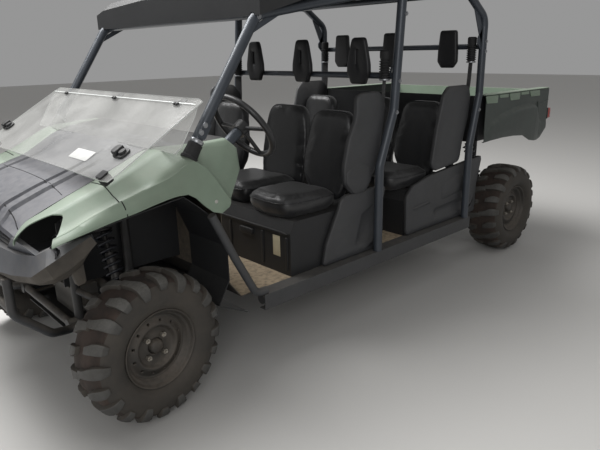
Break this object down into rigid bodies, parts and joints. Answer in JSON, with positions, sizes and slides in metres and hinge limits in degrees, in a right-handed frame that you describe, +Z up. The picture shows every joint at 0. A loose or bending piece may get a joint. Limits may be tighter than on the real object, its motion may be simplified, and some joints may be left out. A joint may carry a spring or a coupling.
{
  "type": "side by side utility vehicle",
  "caption": "Crew side-by-side utility vehicle: two bench rows in a tube cage with a roof, folding windscreen, tipping cargo bed and knobbly tyres.",
  "frame": {"origin": "on the ground under the middle of the vehicle's bounding box", "axes": "+X forward, +Y to the vehicle's left, +Z up"},
  "size_m": [3.91, 1.5856, 1.932],
  "materials": {
    "frame_steel": "satin black powder coat",
    "cage_steel": "satin blue-grey powder coat",
    "bare_steel": "dusty machined steel",
    "cast_case": "raw casting",
    "engine_metal": "painted block",
    "tyre": "dusty rubber",
    "rim": "dusty black wheel paint",
    "floor_plastic": "moulded floor with dried mud",
    "dark_panel": "moulded dark grey",
    "green_panel": "moulded sage green",
    "black_plastic": "moulded black",
    "vinyl": "black vinyl cover",
    "screen_sheet": "scratched clear polycarbonate",
    "lamp_red": "red lens",
    "lamp_clear": "clear lens over a grey reflector",
    "hoop_grip": "moulded grip"
  },
  "bodies": {
    "vehicle": {"chassis_frame": "frame_steel", "bed_subframe": "frame_steel", "suspension_arms": "frame_steel", "coil_overs": "frame_steel", "gear_cases": "cast_case", "half_shafts": "frame_steel", "engine_block": "engine_metal", "floor_pan": "floor_plastic", "rocker_covers": "dark_panel", "seat_boxes": "black_plastic", "seat_cushions": "vinyl", "seat_backs": "vinyl", "seat_sides": "dark_panel", "roof_panel": "black_plastic", "headrests": "black_plastic", "belt_reels": "black_plastic", "dash": "black_plastic", "steering_column": "frame_steel", "hood": "dark_panel", "fenders": "green_panel", "front_cage": "cage_steel", "middle_hoop": "cage_steel", "rear_cage": "cage_steel", "front_fascia": "dark_panel", "headlamps": "lamp_clear", "wheel_liners": "black_plastic", "front_guard": "frame_steel", "windscreen": "screen_sheet", "windscreen_fittings": "black_plastic"},
    "knuckle_left": {"knuckle_left": "bare_steel"},
    "knuckle_right": {"knuckle_right": "bare_steel"},
    "steering_rack": {"rack_bar": "bare_steel"},
    "steering_wheel": {"steering_wheel": "hoop_grip"},
    "bed": {"bed_tub": "black_plastic", "bed_sides": "green_panel", "tail_lamps": "lamp_red"},
    "tailgate": {"tailgate": "green_panel"},
    "wheel_front_left": {"tyre_front_left": "tyre", "rim_front_left": "rim"},
    "wheel_front_right": {"tyre_front_right": "tyre", "rim_front_right": "rim"},
    "wheel_rear_left": {"tyre_rear_left": "tyre", "rim_rear_left": "rim"},
    "wheel_rear_right": {"tyre_rear_right": "tyre", "rim_rear_right": "rim"}
  },
  "joints": [
    {"name": "steer_left", "type": "hinge", "parent": "vehicle", "child": "knuckle_left", "pos_m": [1.515, 0.6, 0.3175], "axis": [0, 0, 1], "range_deg": [-36, 24]},
    {"name": "steer_right", "type": "hinge", "parent": "vehicle", "child": "knuckle_right", "pos_m": [1.515, -0.6, 0.3175], "axis": [0, 0, 1], "range_deg": [-36, 24]},
    {"name": "rack_travel", "type": "slide", "parent": "vehicle", "child": "steering_rack", "axis": [0, 1, 0], "range_m": [-0.036, 0.053]},
    {"name": "hand_wheel", "type": "hinge", "parent": "vehicle", "child": "steering_wheel", "pos_m": [0.8, 0.44, 1.12], "axis": [-0.8192, 0, 0.5736], "range_deg": [-364, 244]},
    {"name": "spin_front_left", "type": "hinge", "parent": "knuckle_left", "child": "wheel_front_left", "pos_m": [1.50821, 0.66464, 0.3175], "axis": [-0.1045, 0.9945, 0], "continuous": true},
    {"name": "spin_front_right", "type": "hinge", "parent": "knuckle_right", "child": "wheel_front_right", "pos_m": [1.52179, -0.66464, 0.3175], "axis": [-0.1045, 0.9945, 0], "continuous": true},
    {"name": "spin_rear_left", "type": "hinge", "parent": "vehicle", "child": "wheel_rear_left", "pos_m": [-1.435, 0.66, 0.3175], "axis": [0, 1, 0], "continuous": true},
    {"name": "spin_rear_right", "type": "hinge", "parent": "vehicle", "child": "wheel_rear_right", "pos_m": [-1.435, -0.66, 0.3175], "axis": [0, 1, 0], "continuous": true},
    {"name": "bed_tilt", "type": "hinge", "parent": "vehicle", "child": "bed", "pos_m": [-1.7, 0, 0.8], "axis": [0, -1, 0], "range_deg": [0, 45]},
    {"name": "tailgate_drop", "type": "hinge", "parent": "bed", "child": "tailgate", "pos_m": [-1.901, 0, 0.868], "axis": [0, -1, 0], "range_deg": [0, 90]}
  ],
  "couplings": [
    {"joint": "steer_right", "follows": "steer_left", "ratio": 1},
    {"joint": "rack_travel", "follows": "steer_left", "m_per_rad": -0.078},
    {"joint": "hand_wheel", "follows": "steer_left", "ratio": 10}
  ]
}
